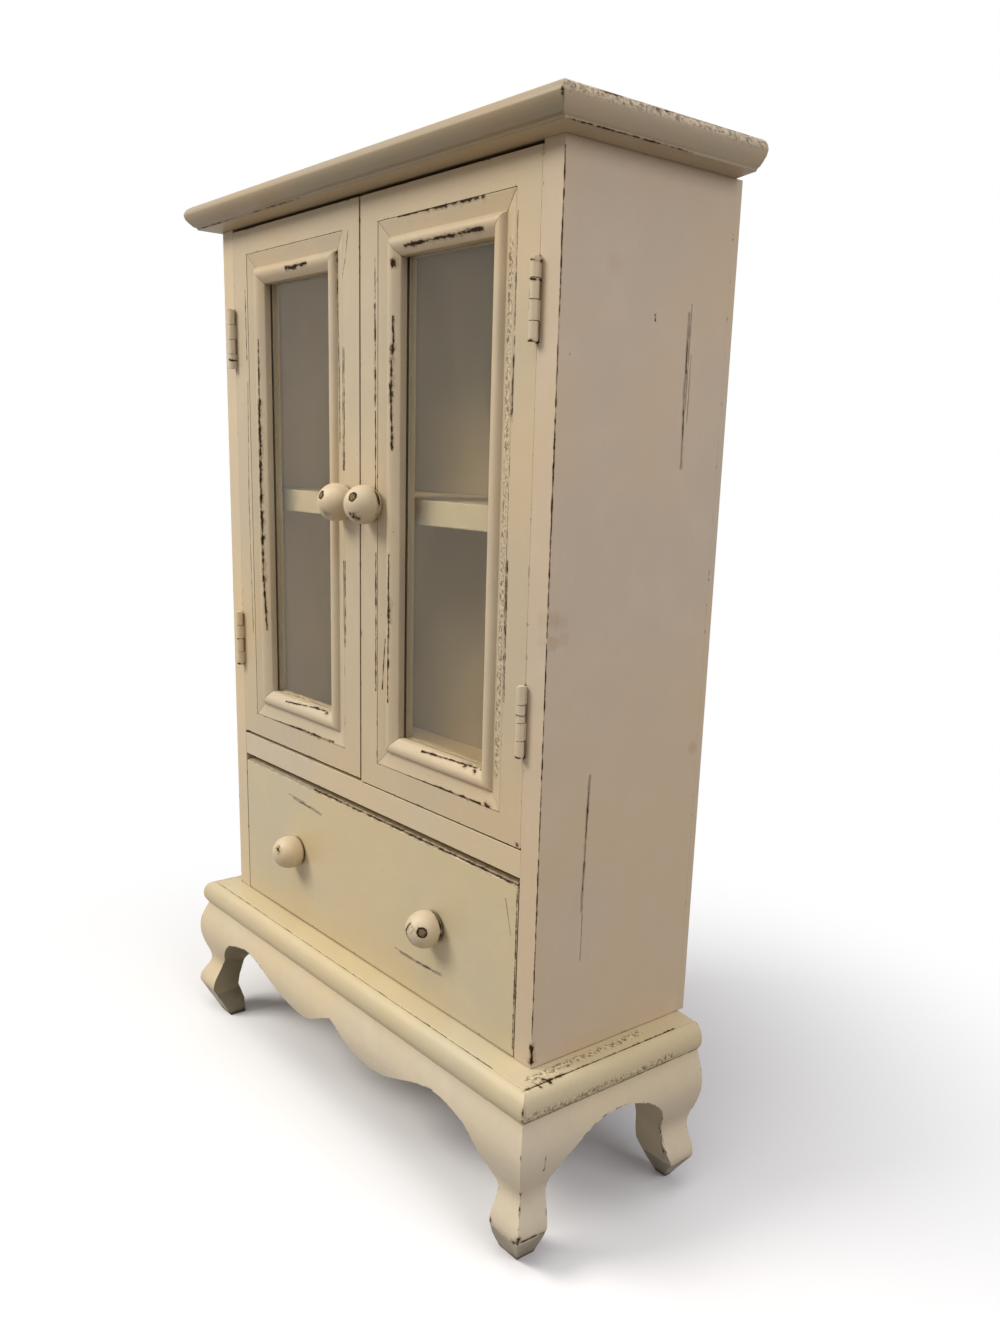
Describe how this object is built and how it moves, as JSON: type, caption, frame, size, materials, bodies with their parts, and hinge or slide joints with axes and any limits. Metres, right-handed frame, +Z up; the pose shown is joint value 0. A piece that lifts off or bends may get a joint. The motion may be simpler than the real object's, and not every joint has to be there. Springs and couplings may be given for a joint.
{
  "type": "thimble display case",
  "caption": "Small free-standing wooden display cabinet with two hinged glazed doors over a shelf, a drawer with knobs, and a scrolled base on curved feet.",
  "frame": {"origin": "middle of the footprint, on the floor the four feet stand on", "axes": "+Z up, -Y towards the viewer who faces the doors, +X to that viewer's right"},
  "size_m": [0.2596, 0.097, 0.386],
  "materials": {
    "cream_paint": "satin paint, worn at the edges",
    "inside_paint": "thin matt paint",
    "raw_board": "bare pressed board",
    "raw_wood": "bare",
    "glass": "clear",
    "hinge_metal": "painted over at the knuckles",
    "steel": "zinc plated"
  },
  "bodies": {
    "cabinet": {"top_board": "cream_paint", "side_panel_left": "cream_paint", "side_panel_right": "cream_paint", "back_panel": "raw_board", "shelf": "inside_paint", "drawer_divider": "cream_paint", "door_stop": "inside_paint", "plinth_board": "cream_paint", "front_apron": "cream_paint", "side_apron_left": "cream_paint", "side_apron_right": "cream_paint", "back_rail": "raw_wood", "foot_front_left": "cream_paint", "foot_front_right": "cream_paint", "foot_back_left": "cream_paint", "foot_back_right": "cream_paint", "cabinet_hinge_leaves": "hinge_metal", "hinge_pins": "hinge_metal", "cabinet_hinge_screws": "steel"},
    "door_left": {"door_left_hinge_stile": "cream_paint", "door_left_meeting_stile": "cream_paint", "door_left_top_rail": "cream_paint", "door_left_bottom_rail": "cream_paint", "door_left_moulding": "cream_paint", "door_left_glass": "glass", "door_left_glazing_beads": "cream_paint", "door_left_hinge_leaves": "hinge_metal", "door_left_hinge_screws": "steel", "door_left_knob": "cream_paint", "door_left_knob_screw": "steel"},
    "door_right": {"door_right_hinge_stile": "cream_paint", "door_right_meeting_stile": "cream_paint", "door_right_top_rail": "cream_paint", "door_right_bottom_rail": "cream_paint", "door_right_moulding": "cream_paint", "door_right_glass": "glass", "door_right_glazing_beads": "cream_paint", "door_right_hinge_leaves": "hinge_metal", "door_right_hinge_screws": "steel", "door_right_knob": "cream_paint", "door_right_knob_screw": "steel"},
    "drawer": {"drawer_front": "cream_paint", "drawer_side_left": "raw_wood", "drawer_side_right": "raw_wood", "drawer_back": "raw_wood", "drawer_bottom": "raw_board", "drawer_knob_left": "cream_paint", "drawer_knob_right": "cream_paint", "drawer_knob_screws": "steel"}
  },
  "joints": [
    {"name": "door_left_hinge", "type": "hinge", "parent": "cabinet", "child": "door_left", "pos_m": [-0.1042, -0.0334, 0.263], "axis": [0, 0, -1], "range_deg": [0, 170]},
    {"name": "door_right_hinge", "type": "hinge", "parent": "cabinet", "child": "door_right", "pos_m": [0.1042, -0.0334, 0.263], "axis": [0, 0, 1], "range_deg": [0, 170]},
    {"name": "drawer_slide", "type": "slide", "parent": "cabinet", "child": "drawer", "axis": [0, -1, 0], "range_m": [0, 0.055]}
  ]
}
